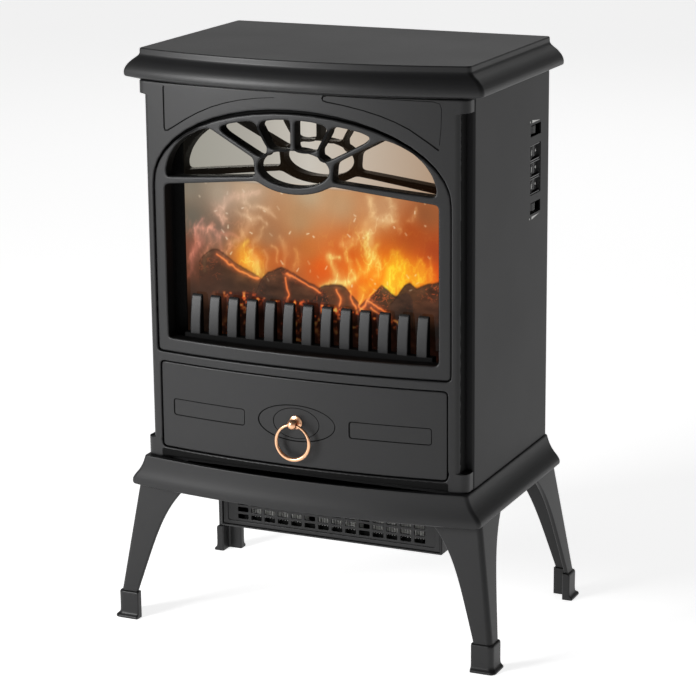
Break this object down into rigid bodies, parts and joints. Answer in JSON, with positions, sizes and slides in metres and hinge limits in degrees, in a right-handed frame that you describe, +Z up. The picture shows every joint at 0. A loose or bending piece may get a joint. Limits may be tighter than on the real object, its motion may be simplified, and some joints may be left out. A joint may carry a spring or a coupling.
{
  "type": "electric fireplace",
  "caption": "Free-standing electric stove heater: bowed cast-look front, arched sunburst window over a lit flame screen, grate, pull-out drawer, fan heater under the plinth, splayed legs.",
  "frame": {"origin": "bottom centre of the whole stove's box, on the floor", "axes": "+Z up, the window faces -Y, +X is the viewer's right when facing the window"},
  "size_m": [0.385, 0.2444, 0.54],
  "materials": {
    "stove_paint": "satin charcoal black powder coat",
    "stove_casting": "satin charcoal black moulding, coated to match the steel",
    "black_plastic": "matt black",
    "switch_plastic": "semi-gloss black",
    "rose_brass": "polished rose brass",
    "bare_steel": "plain zinc-plated steel",
    "ceramic": "unglazed white",
    "circuit_board": "green solder mask",
    "flame_print": "glossy printed flame and ember picture, lit from behind"
  },
  "bodies": {
    "stove": {"side_panel_left": "stove_paint", "side_panel_right": "stove_paint", "rear_cover": "stove_paint", "top_plate": "stove_paint", "front_frame": "stove_casting", "window_frame": "stove_casting", "base_plate": "stove_casting", "grate_fingers": "stove_casting", "heater_grille": "stove_casting", "leg_front_left": "stove_casting", "leg_front_right": "stove_casting", "leg_rear_left": "stove_casting", "leg_rear_right": "stove_casting", "foot_cap_front_left": "stove_casting", "foot_cap_front_right": "stove_casting", "foot_cap_rear_left": "stove_casting", "foot_cap_rear_right": "stove_casting", "firebox_liner": "black_plastic", "bottom_cover": "black_plastic", "heater_housing": "black_plastic", "cable_gland": "black_plastic", "led_board_standoff": "black_plastic", "thermostat_body": "black_plastic", "dimmer_body": "black_plastic", "switch_body_flame": "switch_plastic", "switch_body_low_heat": "switch_plastic", "switch_body_high_heat": "switch_plastic", "blower_bearing": "rose_brass", "firebox_shelf": "bare_steel", "drawer_runner_left": "bare_steel", "drawer_runner_right": "bare_steel", "spindle_bracket": "bare_steel", "spindle_motor": "bare_steel", "light_reflector": "bare_steel", "control_bracket": "bare_steel", "blower_motor": "bare_steel", "thermal_cutout": "bare_steel", "heating_element": "ceramic", "terminal_block": "ceramic", "led_board": "circuit_board", "flame_screen": "flame_print"},
    "drawer": {"drawer_front": "stove_casting", "drawer_tray": "stove_paint", "ring_post": "rose_brass", "ring_rosette": "rose_brass"},
    "pull_ring": {"ring_pull": "rose_brass"},
    "flame_switch": {"rocker_flame": "switch_plastic"},
    "low_heat_switch": {"rocker_low_heat": "switch_plastic"},
    "high_heat_switch": {"rocker_high_heat": "switch_plastic"},
    "thermostat_dial": {"thermostat_wheel": "switch_plastic"},
    "dimmer_dial": {"dimmer_wheel": "switch_plastic"},
    "flicker_spindle": {"flame_spindle": "bare_steel"},
    "fan": {"blower_rotor": "bare_steel"}
  },
  "joints": [
    {"name": "drawer_slide", "type": "slide", "parent": "stove", "child": "drawer", "axis": [0, -1, 0], "range_m": [0, 0.11]},
    {"name": "ring_swing", "type": "hinge", "parent": "drawer", "child": "pull_ring", "pos_m": [0, -0.11425, 0.213], "axis": [-1, 0, 0], "range_deg": [-8, 110]},
    {"name": "flame_switch_tilt", "type": "hinge", "parent": "stove", "child": "flame_switch", "pos_m": [0.1534, 0.07375, 0.439], "axis": [0, 0, 1], "range_deg": [-14, 0]},
    {"name": "low_heat_switch_tilt", "type": "hinge", "parent": "stove", "child": "low_heat_switch", "pos_m": [0.1534, 0.07375, 0.4235], "axis": [0, 0, 1], "range_deg": [-14, 0]},
    {"name": "high_heat_switch_tilt", "type": "hinge", "parent": "stove", "child": "high_heat_switch", "pos_m": [0.1534, 0.07375, 0.408], "axis": [0, 0, 1], "range_deg": [-14, 0]},
    {"name": "thermostat_turn", "type": "hinge", "parent": "stove", "child": "thermostat_dial", "pos_m": [0.1456, 0.07375, 0.4596], "axis": [0, 0, 1], "range_deg": [0, 270]},
    {"name": "dimmer_turn", "type": "hinge", "parent": "stove", "child": "dimmer_dial", "pos_m": [0.1456, 0.07375, 0.3878], "axis": [0, 0, 1], "range_deg": [0, 270]},
    {"name": "flicker_spin", "type": "hinge", "parent": "stove", "child": "flicker_spindle", "pos_m": [0, -0.04126, 0.296], "axis": [1, 0, 0], "continuous": true},
    {"name": "fan_spin", "type": "hinge", "parent": "stove", "child": "fan", "pos_m": [0, -0.00125, 0.1035], "axis": [1, 0, 0], "continuous": true}
  ]
}
